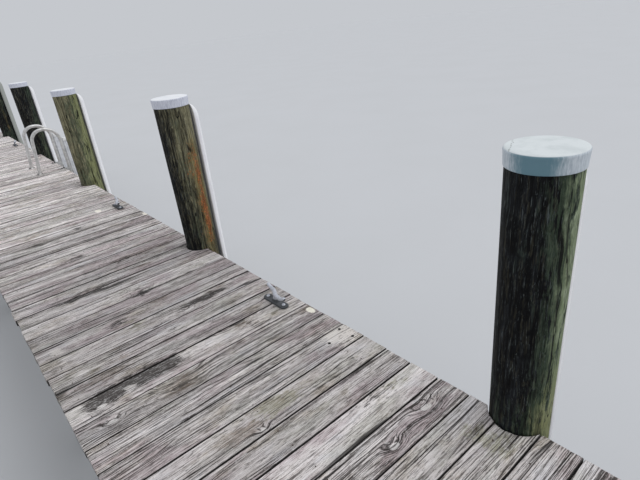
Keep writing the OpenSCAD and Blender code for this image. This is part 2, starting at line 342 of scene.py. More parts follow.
class Finish(Nodes):
    """A material of one Principled shader, whose constants are given by their names."""

    def __init__(self, name, **constants):
        self.material = bpy.data.materials.new(name)
        super().__init__(self.material)
        self.shader = self.add("ShaderNodeBsdfPrincipled", None, {
            socket.replace("_", " "): value for socket, value in constants.items()})
        self.add("ShaderNodeOutputMaterial", None,
                 {"Surface": Number(self, self.shader.outputs[0])})

    def place(self):
        return self.node("ShaderNodeTexCoord", out="Object")

    def kept(self, name, out="Fac"):
        """A value or, as out="Vector", a vector kept at the piece's points."""
        return self.node("ShaderNodeAttribute", {"attribute_name": name}, out=out)

    def part(self, vector, k):
        return self.node("ShaderNodeSeparateXYZ", None, {0: vector}, out=k)

    def join(self, x, y, z):
        return self.node("ShaderNodeCombineXYZ", None, {0: x, 1: y, 2: z})

    def vectors(self, operation, *values, out=0):
        return self.node("ShaderNodeVectorMath", {"operation": operation},
                         dict(enumerate(values)), out)

    def away(self, x, y, reach_x, reach_y, warp=0.0):
        """Distance from an upright line at x, y, counted in reaches along X and along Y."""
        moved = self.vectors("MULTIPLY_ADD", self.place(), (1 / reach_x, 1 / reach_y, 0.0),
                             (-x / reach_x, -y / reach_y, 0.0))
        return self.vectors("LENGTH", moved, out="Value") + warp

    def noise(self, vector, by, detail=2.0, rough=0.55, shift=(0, 0, 0)):
        """Noise over a vector that is stretched and then shifted."""
        moved = self.vectors("MULTIPLY_ADD", vector, by, shift)
        return self.node("ShaderNodeTexNoise", None,
                         {"Vector": moved, "Scale": 1.0, "Detail": detail, "Roughness": rough})

    def noises(self, vector, *rows):
        """A noise for each row of stretch, detail, roughness and, where it has one, shift."""
        return [self.noise(vector, *row) for row in rows]

    def rise(self, value, start, end, first=0.0, last=1.0):
        """Goes smoothly from `first` to `last` as the value goes from start to end."""
        return self.node("ShaderNodeMapRange", {"interpolation_type": "SMOOTHSTEP"},
                         {"Value": value, "From Min": start, "From Max": end,
                          "To Min": first, "To Max": last})

    def contour(self, noise, inner, outer, *wobble):
        """Thin lines along a noise's middle contour, made uneven by other noises."""
        return self.rise(abs(varied(noise - 0.5, *wobble)), outer, inner)

    def blend(self, mask, first, second):
        """The first colour where the mask is 0 and the second where it is 1."""
        return self.node("ShaderNodeMix", {"data_type": "RGBA", "clamp_factor": True},
                         {0: mask, 6: first, 7: second}, out=2)

    def layers(self, colour, *rows):
        """Lays colours over the first. A row is a mask, or a value with the start and end
        of its rise, and then how strong the colour lies there and the colour."""
        for value, *limits, strength, over in rows:
            mask = self.rise(value, *limits) if limits else value
            colour = self.blend(mask * strength, colour, over)
        return colour

    def dim(self, colour, by):
        """The colour times a number."""
        return self.node("ShaderNodeVectorMath", {"operation": "SCALE"}, {0: colour, "Scale": by})

    def done(self, colour, rough, height, strength, distance, metal=None):
        """Links the shader's sockets, the height through a Bump node, and gives the material."""
        bump = self.node("ShaderNodeBump", None,
                         {"Strength": strength, "Distance": distance, "Height": height})
        for socket, value in (("Base Color", colour), ("Roughness", rough), ("Normal", bump)):
            self.put(self.shader.inputs[socket], value)
        if metal is not None:
            self.put(self.shader.inputs["Metallic"], metal)
        return self.material


# Knots as (x, y, reach along the jetty, reach across it)
KNOTS = [(-4.583, -0.335, 0.055, 0.085), (-4.615, -0.115, 0.036, 0.060),
         (-3.196, -0.032, 0.040, 0.090), (-4.213, 0.171, 0.030, 0.045),
         (-3.600, 0.580, 0.034, 0.070), (-3.723, 0.577, 0.030, 0.060)]
# Pale chips in the boards' faces, in the same way, each with how bright it is
CHIPS = [(-3.724, -0.472, 0.036, 0.022, 0.92), (-1.466, -0.500, 0.060, 0.030, 0.45),
         (-0.997, -0.237, 0.050, 0.030, 0.45)]


def board_finish():
    """Silver-grey softwood. Growth rings are waves of the distance across the board plus
    a slow noise, so that they run along it and close in arches, and knots push them apart.
    Dark lines follow the rings' crests, noise drawn out along the grain makes streaks and
    fibres, cracks are the contours of such a noise, mildew darkens where the stain value
    is high, and the boards' own sides, undersides and edges are dark with dirt and with the
    painted shade of the gaps between them."""
    f = Finish("weathered_board_wood", Specular_IOR_Level=0.25)
    grain = f.kept("grain", "Vector")
    tone, stain, joint, moss, tan, mauve, bleach, lined = map(
        f.kept, ("tone", "stain", "joint", "moss", "tan", "mauve", "bleach", "lined"))
    along, across, through = (f.part(grain, k) for k in range(3))
    warp = f.noise(grain, (9, 30, 0)) - 0.5
    cells = {"Vector": f.join(along * 1.7 + warp * 0.25, across * 7.5 + warp * 0.25, 0.0),
             "Scale": 1.0}
    flat = {"voronoi_dimensions": "2D"}
    apart = f.node("ShaderNodeTexVoronoi", flat, cells, out="Distance")
    chance = f.part(f.node("ShaderNodeTexVoronoi", flat, cells, out="Color"), 0)
    knotty = f.rise(chance, 0.84, 0.88)
    heart = knotty * f.rise(apart + warp * 0.12, 0.11, 0.06)
    halo = knotty * f.rise(apart, 0.30, 0.08)
    pushed = knotty * f.rise(apart, 0.4, 0.0) * 16.0
    pale_heart, wild = 0.0, 0.0
    for knot in KNOTS:
        off = f.away(*knot, warp * 0.55)
        pushed = pushed + f.rise(off, 1.3, 0.0) * 17.0
        pale_heart = f.rise(off, 0.34, 0.24) + pale_heart
        wild = f.rise(off, 1.15, 0.75) + wild
    bend = f.noise(grain, (1.5, 8, 8), 1) - 0.5
    bent = f.join(along, across + bend * 0.035 + pushed * 0.0012, through)
    slow, cloud, tint, speck, mould = f.noises(
        grain,
        ((0.9, 6, 6), 2, 0.5, (3, 1, 2)),
        ((3.5, 8, 8), 5, 0.68, (1, 4, 2)),
        ((2.6, 7, 7), 4, 0.6, (8, 3, 5)),
        ((90, 150, 150), 3, 0.7),
        ((16, 34, 34), 5, 0.75, (2, 6, 3)))
    broad, patchy, streak, fibre, dash, ribbon, grit, hair, split = f.noises(
        bent,
        ((1, 20, 20), 3, 0.6),
        ((2.4, 34, 34), 2, 0.6, (4, 2, 0)),
        ((1.5, 115, 115), 3, 0.75, (5, 0, 0)),
        ((14, 330, 330), 3, 0.7, (9, 3, 0)),
        ((22, 190, 190), 3, 0.65, (6, 1, 0)),
        ((1.2, 70, 70), 3, 0.75, (3, 8, 1)),
        ((60, 95, 95), 4, 0.8, (1, 9, 4)),
        ((0.5, 105, 105), 1, 0.5, (2, 7, 0)),
        ((0.5, 26, 26), 1, 0.5, (7, 5, 0)))
    phase = varied(across * 400.0 + slow * 48.0 + broad * 14.0 + pushed, (fibre, 1.2))
    crests = (f.rise(broad + lined * 0.14, 0.49, 0.60) + wild).least(1.0)
    wide_line = f.rise(phase.wave(), 0.76, 0.95) * crests
    thin_line = f.contour(hair, 0.016, 0.042, (dash, 0.02))
    thin_line = thin_line * f.rise(patchy + lined * 0.12, 0.40, 0.52)
    crack = f.contour(split, 0.004, 0.013, (fibre, 0.012)) * f.rise(patchy, 0.36, 0.50)
    pronounced = f.rise(f.part(f.place(), 0), -4.3, -0.8, 0.10, 0.40)
    colour = f.layers(
        f.blend(f.rise(broad, 0.30, 0.70), "dad4d3", "bab3b1"),
        (cloud, 0.50, 0.70, 0.58, "a99b83"),
        (cloud, 0.48, 0.34, 0.30, "bcc0ca"),
        (tint + mauve * 0.3, 0.50, 0.64, 0.65, "a69498"),
        (tint, 0.48, 0.34, 0.50, "a7a79d"),
        (varied(moss, (cloud, 1.2), (mould, 1.8)), 0.45, 0.80, 0.62, "848262"),
        (varied(tan, (cloud, 1.2), (mould, 1.8)), 0.45, 0.80, 0.50, "7f6b5b"),
        (streak, 0.54, 0.62, 0.16, "5c5551"),
        (streak, 0.47, 0.40, 0.12, "f4f1f0"),
        (ribbon, 0.54, 0.60, pronounced, "544d4a"),
        (ribbon, 0.46, 0.40, pronounced * 0.7, "fbf8f7"),
        (varied(stain, (cloud, 1.1), (mould, 1.6), (dash, 1.5), (fibre, 0.7)),
         0.46, 0.86, 0.92, "2b2726"),
        (fibre, 0.44, 0.32, 0.34, "f3f0ef"),
        (thin_line, 0.90, "2b2724"),
        (wide_line, 0.85, "342f2d"),
        (fibre, 0.52, 0.62, 0.55, "4a4441"),
        (halo, 0.35, "837a70"),
        (heart, 0.70, "5f5349"),
        (pale_heart, 0.75, "d9d5d3"),
        (varied(stain, (mould, 1.4)), -0.30, -0.60, 0.65, "dfd9d3"),
        (speck, 0.58, 0.70, 0.50, "4c4643"),
        (speck, 0.42, 0.32, 0.35, "f5f2f1"),
        (varied(dash, (cloud, 0.45)), 0.565, 0.62, 0.60, "35302e"),
        (dash, 0.44, 0.36, 0.26, "f4f2f1"),
        (crack, 0.88, "231f1e"))
    for *spot, bright in CHIPS:
        off = f.away(*spot, varied(warp * 0.5, (grit, 0.5)))
        colour = f.layers(colour, (off, 0.95, 0.75, bright, "f2eee0"))
    # dirt, and painted shade of the gaps: the boards' sides, undersides and edges go dark
    colour = f.layers(colour, (joint, 0.93, "1b1918"))
    colour = f.dim(colour, (tone * 0.26 + 1.03) * (bleach * 0.42 + 1.0) * varied(1.0, (speck, 0.4)))
    height = (streak * -0.7 + wide_line * -0.5 + thin_line * -0.3 + fibre * -0.6
              + crack * -1.8 + heart * 0.4)
    return f.done(colour, f.rise(streak, 0.3, 0.7, 0.92, 0.74), height, 0.65, 0.0024)


def plank_finish():
    """Brown-grey sawn timber with long streaks, greener and darker towards the water."""
    f = Finish("damp_frame_wood", Specular_IOR_Level=0.3)
    grain, tone = f.kept("grain", "Vector"), f.kept("tone")
    bend = (f.noise(grain, (1.6, 7, 7), 1) - 0.5) * 0.03
    bent = f.join(f.part(grain, 0), f.part(grain, 1) + bend, f.part(grain, 2) + bend)
    streak, fibre, split = f.noises(bent, ((1.3, 80, 80), 3, 0.6), ((6, 330, 330),),
                                    ((1, 150, 150), 1, 0.55, (3, 1, 0)))
    cloud = f.noise(grain, (2, 7, 7), 4, 0.65)
    crack = f.rise(split, 0.67, 0.73)
    colour = f.layers(
        f.blend(f.rise(streak, 0.3, 0.7), "958a7a", "6f6558"),
        (fibre, 0.5, 0.75, 0.6, "4a4239"),
        (f.part(f.place(), 2) + cloud * 0.12, 0.93, 0.70, 0.55, "4f5241"),
        (cloud, 0.55, 0.75, 0.5, "5b5647"),
        (crack, 0.85, "211d1a"))
    height = streak * -0.8 + fibre * -0.4 + crack * -1.4
    return f.done(f.dim(colour, tone * 0.25 + 0.85), f.rise(cloud, 0.3, 0.7, 0.86, 0.7),
                  height, 0.5, 0.002)


def pile_finish():
    """A tarred log: black and olive streaks that run down it, long thin checks along the
    contours of a drawn-out noise, a film that is dark green where it is thin and pale
    where it is thick, and rust below old fixings, each where its own value is high."""
    f = Finish("weathered_pile_wood", Specular_IOR_Level=0.14)
    place, film, rust, tone = f.place(), f.kept("film"), f.kept("rust"), f.kept("tone")
    bend = f.noise(place, (6, 6, 4), 3, 0.6) - 0.5
    bent = f.vectors("ADD", place, f.join(bend * 0.045, bend * -0.045, 0.0))
    blotch, speck = f.noises(place, ((11, 11, 7), 5, 0.68), ((150, 150, 90), 3, 0.7))
    broad, streak, fibre, split, dent, gap, ripple = f.noises(
        bent,
        ((20, 20, 2.6), 4, 0.65),
        ((76, 76, 4), 5, 0.7),
        ((230, 230, 16), 4, 0.7),
        ((17, 17, 1.7), 1, 0.5, (4, 0, 0)),
        ((40, 40, 6), 3, 0.6, (2, 8, 1)),
        ((58, 58, 8), 4, 0.7, (3, 5, 2)),
        ((120, 120, 7), 3, 0.7, (7, 2, 4)))
    check = f.contour(split, 0.004, 0.014, (fibre, 0.02)) * f.rise(broad, 0.42, 0.56)
    gouge = f.rise(dent, 0.57, 0.63)
    thick = varied(film, (streak, 1.0), (blotch, 1.0), (broad, 0.5))
    thick = thick + f.rise(gap, 0.50, 0.64) * -0.5
    yellow = (f.rise(f.part(place, 2), 1.42, 1.10) + f.rise(tone, 0.5, 1.0)).least(1.0)
    wood = f.blend(f.rise(streak, 0.36, 0.66), "4c4938", "a09b7c")
    green = f.layers("74825f", (varied(fibre, (blotch, 0.8)), 0.35, 0.7, 1.0, "a4b096"),
                     (yellow, 0.6, "86834f"))
    ochre = f.blend(f.rise(fibre, 0.35, 0.65), "5a4c26", "94824a")
    orange = f.blend(f.rise(speck, 0.48, 0.64), "7a4526", "bf7443")
    colour = f.layers(
        f.blend(f.rise(streak, 0.46, 0.70), "090a0c", "25292d"),
        (varied(blotch, (fibre, 0.4)), 0.52, 0.70, 0.40, "3b4148"),
        (varied(tone, (broad, 0.7), (streak, 1.3), (fibre, 1.0)), 0.18, 0.90, 1.0, wood),
        (thick, 0.05, 0.50, 0.75, "425040"),
        (thick, 0.42, 0.95, 1.0, green),
        (varied(rust, (streak, 0.7), (blotch, 0.5)), 0.15, 0.55, 0.55, ochre),
        (ripple, 0.53, 0.60, f.rise(tone, -0.3, 0.3, 0.22, 0.36), "0e0e0f"),
        (ripple, 0.47, 0.40, f.rise(tone, -0.3, 0.3, 0.05, 0.14), "b5af93"),
        (varied(rust, (speck, 3.0), (blotch, 2.6), (fibre, 1.0)), 0.66, 1.16,
         f.rise(rust, 0.03, 0.15) * 0.85, orange),
        (fibre, 0.51, 0.66, 0.66, "0b0b0c"),
        (fibre, 0.44, 0.31, 0.34, "7d8788"),
        (speck, 0.67, 0.78, 0.35, "8f9685"),
        (gouge, f.rise(tone, 0.2, 0.9, 0.50, 0.25), "0c0c0e"),
        (check, 0.9, "070708"))
    height = streak * -0.9 + fibre * -0.5 + check * -1.5 + gouge * -1.0 + thick * 0.15
    return f.done(colour, f.rise(streak, 0.3, 0.7, 0.85, 0.64), height, 0.65, 0.003)


def cap_finish(name, skirt, top, split=None):
    """White plastic, chalky on top and weathered on its skirt with fine upright grain and
    a patch of another shade. `split` is the middle of a cap that has a fine crack."""
    f = Finish(name, Specular_IOR_Level=0.35)
    place, lid, patch = f.place(), f.kept("lid"), f.kept("patch")
    brushed, cloud, fleck = f.noises(place, ((210, 210, 28), 4, 0.7), ((16, 16, 16), 4, 0.6),
                                     ((420, 420, 420), 2, 0.6))
    side = f.layers(
        f.blend(f.rise(brushed, 0.35, 0.68), *skirt[:2]),
        (varied(patch, (cloud, 0.5), (brushed, 0.5)), 0.18, 0.85, 1.0, skirt[2]))
    flat = f.layers(f.blend(f.rise(cloud, 0.4, 0.7), *top), (fleck, 0.62, 0.75, 0.35, "aeb4b4"))
    colour = f.blend(lid, side, flat)
    height = brushed * (1.0 - lid) * -0.7 + fleck * -0.25
    if split is not None:
        across_x, across_y, from_middle = 0.908, 0.419, 0.090
        wander = (f.noise(place, (24, 24, 0), 3, 0.6) - 0.5) * 0.03
        off = ((f.part(place, 0) - split[0]) * across_x
               + (f.part(place, 1) - split[1]) * across_y)
        crack = f.rise(abs(off + wander - from_middle), 0.0012, 0.0004) * lid
        colour = f.layers(colour, (crack, 0.7, "7f8684"))
        height = height + crack * -1.0
    return f.done(colour, f.rise(brushed, 0.3, 0.7, 0.55, 0.7), height, 0.35, 0.0006)


def strip_finish():
    """Smooth white vinyl, dirtier in long streaks and where the grime value is high, with
    painted shade, near black, on its narrow back against the pile.
    """
    f = Finish("white_strip_vinyl", Specular_IOR_Level=0.5)
    run, cloud = f.noises(f.place(), ((60, 60, 2), 4, 0.6), ((18, 18, 7), 4, 0.65))
    dirt = f.rise(varied(f.kept("grime"), (run, 1.2), (cloud, 0.7)), 0.35, 1.0)
    # painted shade: the strip's narrow back is laid over near black
    colour = f.layers(f.blend(f.rise(cloud, 0.3, 0.7), "fafafc", "f0f0f4"),
                      (dirt, 0.85, "868b82"), (f.kept("behind"), 0.85, "303235"))
    return f.done(colour, f.rise(dirt, 0.0, 1.0, 0.32, 0.7), run, 0.15, 0.0008)


def zinc_finish():
    """Galvanized iron: grains of cells in slightly different greys, with painted shade, dark,
    duller and less metallic, where the shine value is low. Pieces without that value,
    such as the frame bolts, are painted dark all over.
    """
    f = Finish("galvanized_iron")
    place = f.place()
    cells = f.node("ShaderNodeTexVoronoi", None, {"Vector": place, "Scale": 110.0}, out="Color")
    cloud, pit = f.noises(place, ((45, 45, 45), 4, 0.65), ((500, 500, 500),))
    # painted shade: dark, duller and less metallic where the shine value is low
    low = f.rise(varied(f.kept("shine"), (cloud, 0.3)), 0.75, 0.25)
    colour = f.layers(f.blend(f.part(cells, 0), "d3d5de", "bcc0c8"),
                      (cloud, 0.5, 0.75, 0.4, "8f9296"), (low, 0.92, "1c2022"))
    return f.done(colour, f.rise(cloud, 0.3, 0.7, 0.36, 0.6) + low * 0.3, pit + cloud * 0.6,
                  0.3, 0.0007, f.rise(low, 0.0, 0.8, 0.45, 0.0))


def alloy_finish(name, light, dark, metal):
    """Dull aluminium with fine scratches, oxide clouds and dark specks."""
    f = Finish(name)
    scratch, cloud, speck = f.noises(f.place(), ((260, 260, 35), 4, 0.7), ((22, 22, 22), 4, 0.65),
                                     ((210, 210, 210), 3, 0.7))
    speck = f.rise(speck, 0.66, 0.74)
    colour = f.blend(f.rise(cloud, 0.35, 0.7), light, dark)
    colour = f.layers(colour, (scratch, 0.55, 0.75, 0.4, f.dim(colour, 0.7)))
    colour = f.layers(colour, (speck, 0.6, f.dim(colour, 0.4)))
    return f.done(colour, f.rise(cloud, 0.3, 0.7, 0.32, 0.52), scratch, 0.18, 0.0005,
                  f.rise(speck + cloud * 0.3, 0.1, 1.0, metal, metal * 0.4))


def nail_finish(name, dark, light):
    """Rusted steel with dark and lighter mottling."""
    f = Finish(name, Specular_IOR_Level=0.4)
    mottle, cloud = f.noises(f.place(), ((350, 350, 350), 4, 0.7), ((9, 9, 9),))
    colour = f.blend(f.rise(mottle, 0.4, 0.65), dark, light)
    colour = f.layers(colour, (cloud, 0.45, 0.65, 0.3, f.dim(colour, 1.5)))
    return f.done(colour, f.rise(mottle, 0.3, 0.7, 0.6, 0.85), mottle, 0.4, 0.0005,
                  f.rise(cloud, 0.3, 0.7, 0.05, 0.25))


def end_cap_finish():
    """White moulded plastic with faint yellowing and a fine pebbled surface."""
    f = Finish("white_moulded_plastic", Specular_IOR_Level=0.45)
    cloud, pebble = f.noises(f.place(), ((40, 40, 40), 4, 0.6), ((900, 900, 900), 1))
    colour = f.blend(f.rise(cloud, 0.4, 0.75), "eff0f2", "dcdcd8")
    return f.done(colour, f.rise(cloud, 0.3, 0.7, 0.4, 0.58), pebble, 0.2, 0.0004)


BOARD_WOOD = board_finish()
FRAME_WOOD = plank_finish()
PILE_WOOD = pile_finish()
STRIP_VINYL = strip_finish()
ZINC = zinc_finish()
RAIL_ALLOY = alloy_finish("dull_tube_aluminium", "dddcda", "bdbcba", 0.70)
STILE_ALLOY = alloy_finish("pale_bar_aluminium", "f0f1f4", "d9dbdf", 0.45)
NAIL_STEEL = nail_finish("rusted_steel", "3a322e", "5d4a3e")
# dark steel for the ladder's bolt heads, and painted shade for the old screw holes
HOLE_SHADE_AND_DARK_STEEL = nail_finish("dark_steel_and_hole_shade", "0b0a0a", "1c1816")
END_CAP_PLASTIC = end_cap_finish()


# ---- deck ----

# Marks on the boards as (x, y, reach along the jetty, reach across it, strength)
DARK_MARKS = [(-3.552, 0.34, 0.05, 0.14, 2), (-3.545, 0.535, 0.045, 0.06, 1.7),
              (-3.152, -0.16, 0.03, 0.17, 1.2), (-3.013, 0.31, 0.035, 0.06, 0.8),
              (-2.53, 0.34, 0.022, 0.17, 1.1), (-3.3, 0.1, 0.04, 0.08, 0.6),
              (-2.8, 0.08, 0.03, 0.08, 0.6), (-3.58, 0.62, 0.08, 0.07, 0.7),
              (-3.73, 0.59, 0.06, 0.07, 0.6), (-4.6, -0.11, 0.05, 0.07, 0.8),
              (-4.57, -0.26, 0.04, 0.05, 0.7), (-4.41, -0.23, 0.04, 0.1, 0.6),
              (-2.47, 0.45, 0.05, 0.18, 0.5), (-1.28, 0.02, 0.05, 0.06, 0.9),
              (-1.36, 0.358, 0.03, 0.06, 0.9), (-1.9, 0.2, 0.04, 0.08, 0.9),
              (-1.82, -0.17, 0.04, 0.06, 0.9), (-2.75, 0.05, 0.15, 0.12, 0.4),
              (-2.23, -0.06, 0.06, 0.16, 0.6), (-3.57, -0.19, 0.05, 0.1, 0.5),
              (-4.17, -0.33, 0.03, 0.03, 0.8), (-2.9, 0.1, 0.85, 0.7, 0.16),
              (-4.36, 0.42, 0.06, 0.12, 0.5), (-0.55, 0.3, 0.05, 0.15, 0.5)]
PALE_MARKS = [(-3.72, -0.473, 0.03, 0.014, 1.5), (-1.466, -0.5, 0.045, 0.02, 1.2),
              (-3.575, 0.455, 0.011, 0.032, 1.6), (-4, -0.43, 0.1, 0.1, 0.9),
              (-3.02, 0.62, 0.05, 0.06, 0.8), (-4.58, -0.34, 0.03, 0.08, 0.5)]
MOSS_MARKS = [(-4.15, 0.05, 0.06, 0.14, 1.1), (-4.82, -0.36, 0.16, 0.07, 0.9),
              (-3.58, -0.35, 0.05, 0.08, 0.5), (-4.41, -0.36, 0.05, 0.12, 0.6),
              (-3.1, 0.25, 0.12, 0.1, 0.7), (-3.33, 0.5, 0.1, 0.12, 0.5)]
TAN_MARKS = [(-4.175, 0.22, 0.05, 0.12, 1), (-3.69, -0.43, 0.04, 0.08, 0.9),
             (-3.42, 0.55, 0.06, 0.14, 0.8), (-2.23, -0.1, 0.07, 0.2, 0.8),
             (-3.56, -0.16, 0.04, 0.1, 0.8), (-3.3, 0.42, 0.1, 0.16, 0.5),
             (-0.88, -0.1, 0.09, 0.2, 0.7), (-3.71, 0.23, 0.05, 0.06, 0.7),
             (-3.91, 0.13, 0.02, 0.02, 0.9)]
MAUVE_MARKS = [(-2.17, -0.2, 0.09, 0.26, 0.8), (-2.8, 0.1, 0.09, 0.2, 0.5),
               (-1.89, -0.15, 0.08, 0.2, 0.4)]


def marks(x, y, spots, others=()):
    """How strong the marks are at each point: the sum of the first list's bells, less
    those of the second."""
    first, second = (sum(strength * hill(x - at_x, reach_x) * hill(y - at_y, reach_y)
                         for at_x, at_y, reach_x, reach_y, strength in kind)
                     for kind in (spots, others))
    return first - second


def water_ends(x):
    """Where each point of a board's water end lies: at the deck's edge, or further in on
    the circle that clears a pile."""
    clear = PILE_FOOT + PILE_TAPER * DECK_TOP + NOTCH_GAP
    ends = np.full(x.shape, WATER_EDGE)
    for px, py in PILES:
        inside = np.clip(clear ** 2 - (x - px) ** 2, 0, None)
        ends = np.where(inside > 0, np.maximum(ends, py + np.sqrt(inside)), ends)
    return ends


# Boards that have shrunk more than the rest, each with what is lost from half its width
NARROW_BOARDS = {-31: 0.0016, -30: 0.0024, -28: 0.0015, -24: 0.0018, -23: 0.0014, -17: 0.0018,
                 -12: 0.0022, -5: 0.0018, 4: 0.0024, 5: 0.0016, 19: 0.0020, 33: 0.0022}


def lay_board(deck, n):
    """Board n across the jetty. Its section has edges eased on quarter circles and a top
    that dips as the square of the distance from its middle; rows run from the water end
    to the land end, and the whole is bowed as 4t(1 - t). Its sides and underside are
    painted dark, as dirt and as the shade in the gaps, and on the boards further along
    the dark reaches wider over the eased top edges."""
    draw = np.random.default_rng(4000 + n)
    place = n * PITCH
    middle = place + draw.uniform(-0.0009, 0.0009)
    half = (BOARD_WIDTH - draw.uniform(0.0, 0.0026)) / 2 - NARROW_BOARDS.get(n, 0.0)
    pile_reach = 0.22
    notched = min(abs(place - pile[0]) for pile in PILES) < pile_reach
    inner = np.linspace(-0.93, 0.93, 25 if notched else 9)
    u = np.concatenate([[-1, -0.99, -0.965], inner, [0.965, 0.99, 1]])
    t = [0, 0.0012, 0.004, 0.012, *np.linspace(0.04, 0.96, 22), 0.988, 0.996, 0.9988, 1]
    t = np.array(t)[:, None]
    ease = 0.0026
    past = np.clip((np.abs(u) * half - (half - ease)) / ease, 0, 1)
    drop = ease * (1 - np.sqrt(1 - past ** 2))
    x = middle + half * u
    near = water_ends(x) + draw.uniform(0.0, 0.006) + 0.0012 * waver(x * 90, n * 3.3, 11)
    far = LAND_EDGE - draw.uniform(0.0, 0.009) - 0.0012 * (1 + waver(x * 90, n * 5.1, 12))
    y = near + (far - near) * t
    ends = 0.0022 * (hill(t, 0.0013) + hill(1 - t, 0.0013))
    cup, twist = draw.uniform(-0.0002, 0.0009), draw.uniform(-0.0006, 0.0006)
    worn = (0.0005 * (1 + waver(x * 45, y * 7 + n, 13))
            + 0.0004 * (1 + waver(x * 11, y * 2.5 + n, 14)))
    top = (DECK_TOP - draw.uniform(0, 0.0012) - drop - ends - worn - cup * (1 - u ** 2)
           + twist * (t - 0.5) * u)
    bowed = x + draw.uniform(-0.0012, 0.0012) * 4 * t * (1 - t) + 0 * y
    upper, lower = (np.stack([bowed, y, z + 0 * y], -1) for z in (top, STRINGER_TOP + drop + ends))
    grid = np.concatenate([upper, lower[:, ::-1]], axis=1)
    grain = grid[..., [1, 0, 2]] + draw.uniform(0, 40, 3)
    # dark edges: dirt and the painted shade of the gaps, over each board's sides and underside and,
    # wider on the further boards, over its eased top edges
    far_edge_dirt_and_shade = 0.95 * np.clip((place + 3.2) / 2.0, 0, 1)
    edges = np.concatenate([np.where(past > 0.7, 1.0, far_edge_dirt_and_shade * (past > 0)), np.ones(len(u))])
    # the boards are made lighter further along the jetty, and darker round x = -2.9
    bleach = np.clip((place + 2.1) / 2.6, 0, 1) - 0.46 * hill(place + 2.9, 0.85)
    x, y = grid[..., 0], grid[..., 1]
    deck.add(grid, folded_faces(*grid.shape[:2]), grain=grain, tone=draw.uniform(0, 1),
             bleach=bleach, lined=draw.uniform(-1, 1), stain=marks(x, y, DARK_MARKS, PALE_MARKS),
             moss=marks(x, y, MOSS_MARKS), tan=marks(x, y, TAN_MARKS),
             mauve=marks(x, y, MAUVE_MARKS), joint=edges[None, :])


def lay_deck():
    """The boards of each bay, as one piece for each."""
    for k in range(BAYS):
        low, high = box(f"deck_bay_{k + 1}")
        deck = Shape()
        for n in BOARDS:
            if low[0] < n * PITCH < high[0]:
                lay_board(deck, n)
        deck.build(f"deck_boards_{k + 1}", BOARD_WOOD, "deck_wood", f"deck_bay_{k + 1}")


# Where an old fixing was taken off, as (x, y)
OLD_HOLES = [(-4.010, -0.349), (-3.965, -0.456), (-4.052, -0.460)]


def drive_nails():
    """Two nail heads a board over each stringer: low domes of eight sides, and the holes
    that an old fixing left, as flat dark discs of painted shade."""
    draw = np.random.default_rng(71)
    rows = [centre(f"{name}_stringer")[1] for name in ("outer", "middle", "inner")]
    sunk, gap, stray = 0.0014, 0.13, 0.008
    places = []
    for n in BOARDS:
        for row in rows:
            for side in (-1, 1):
                x = n * PITCH + side * (0.040 + draw.uniform(-stray, stray))
                y = row + draw.uniform(-stray, stray)
                clear = min(hypot(x - px, y - py) for px, py in PILES) > gap
                if draw.random() < 0.6 and clear:
                    places.append((x, y, DECK_TOP - sunk))
    dome = mm((0.3, -1), (3.2, -1), (3.2, 0.1), (2.6, 0.6), (0.3, 0.8))
    hole = mm((0.2, -1), (7.2, -1), (7.2, 0.8), (0.2, 0.8))
    heads, old = Shape(), Shape()
    heads.stamp(turned(dome, 8), places)
    heads.build("deck_nails", NAIL_STEEL, "galvanized_steel", sharp=60)
    # painted shade: flat dark discs stand for the depth of the holes
    old.stamp(turned(hole, 12), [(x, y, DECK_TOP - 0.0012) for x, y in OLD_HOLES])
    old.build("old_screw_holes", HOLE_SHADE_AND_DARK_STEEL, "galvanized_steel", sharp=60)


# ---- piles ----

# How each water pile looks: bare wood, film strength, film's angle and spread in degrees,
# film near the foot, rust strength and angle
PILE_LOOKS = [(0.25, 0.45, 160, 60, 0.3, 0.0, 0), (-0.55, 0.95, 194, 52, 0.30, 0.0, 0),
              (0.30, 0.15, 180, 60, 0.10, 1.0, 204), (1.05, 1.15, 226, 50, 0.45, 0.0, 0),
              (0.12, 0.40, 226, 40, 0.2, 0.0, 0), (0.0, 0.30, 180, 60, 0.1, 0.2, 190),
              (0.3, 0.5, 160, 70, 0.3, 0.0, 0)]
CHECKS_A_LOG = 11


